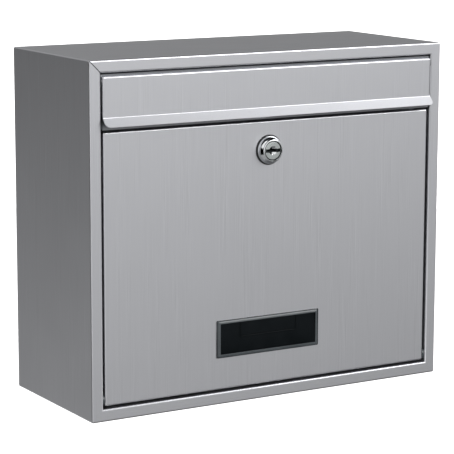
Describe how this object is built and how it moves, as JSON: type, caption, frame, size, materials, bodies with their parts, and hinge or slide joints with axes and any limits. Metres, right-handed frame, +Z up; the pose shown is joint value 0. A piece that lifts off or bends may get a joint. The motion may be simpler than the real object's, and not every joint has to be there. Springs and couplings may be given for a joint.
{
  "type": "wall mounted mailbox",
  "caption": "Wall mounted mailbox of folded brushed stainless sheet with a top-hinged letter flap, a drop-down door with a cam lock, and a framed viewing window.",
  "frame": {"origin": "centre of the four wall holes, on the rear face that lies against the wall", "axes": "+X to the right seen from the front, +Y towards the wall, +Z up"},
  "size_m": [0.36, 0.1552, 0.31],
  "materials": {
    "brushed_stainless": "stainless sheet with a fine brushed grain",
    "polished_chrome": "polished chrome plating",
    "satin_nickel": "satin nickel plating",
    "bright_zinc": "bright zinc plated steel",
    "black_abs": "moulded black plastic, fine satin texture",
    "smoked_acrylic": "dark smoked acrylic, glossy",
    "black_rubber": "black rubber"
  },
  "bodies": {
    "casing": {"casing_wrap": "brushed_stainless", "back_panel": "brushed_stainless", "cross_rail": "brushed_stainless", "letter_guide": "brushed_stainless", "flap_bumpers": "black_rubber", "door_stop_tabs": "brushed_stainless", "door_bumpers": "black_rubber", "flap_bushings": "black_abs", "door_bushings": "black_abs"},
    "flap": {"flap_panel": "brushed_stainless", "flap_pin_left": "bright_zinc", "flap_pin_right": "bright_zinc"},
    "door": {"door_panel": "brushed_stainless", "door_pin_left": "bright_zinc", "door_pin_right": "bright_zinc", "window_bezel": "black_abs", "window_pane": "smoked_acrylic", "card_pocket": "smoked_acrylic", "window_retainer": "black_abs", "window_studs": "bright_zinc", "retainer_nuts": "bright_zinc", "lock_housing": "polished_chrome", "lock_gasket": "black_rubber", "lock_washer": "bright_zinc", "lock_nut": "bright_zinc"},
    "lock_core": {"lock_plug": "satin_nickel", "lock_cam": "bright_zinc", "cam_washer": "bright_zinc", "cam_screw": "bright_zinc"}
  },
  "joints": [
    {"name": "flap_hinge", "type": "hinge", "parent": "casing", "child": "flap", "pos_m": [0, -0.1426, 0.1362], "axis": [-1, 0, 0], "range_deg": [0, 85]},
    {"name": "door_hinge", "type": "hinge", "parent": "casing", "child": "door", "pos_m": [0, -0.141, -0.1366], "axis": [1, 0, 0], "range_deg": [0, 100]},
    {"name": "lock_turn", "type": "hinge", "parent": "door", "child": "lock_core", "pos_m": [-0.0038, -0.15, 0.0685], "axis": [0, -1, 0], "range_deg": [0, 90]}
  ]
}
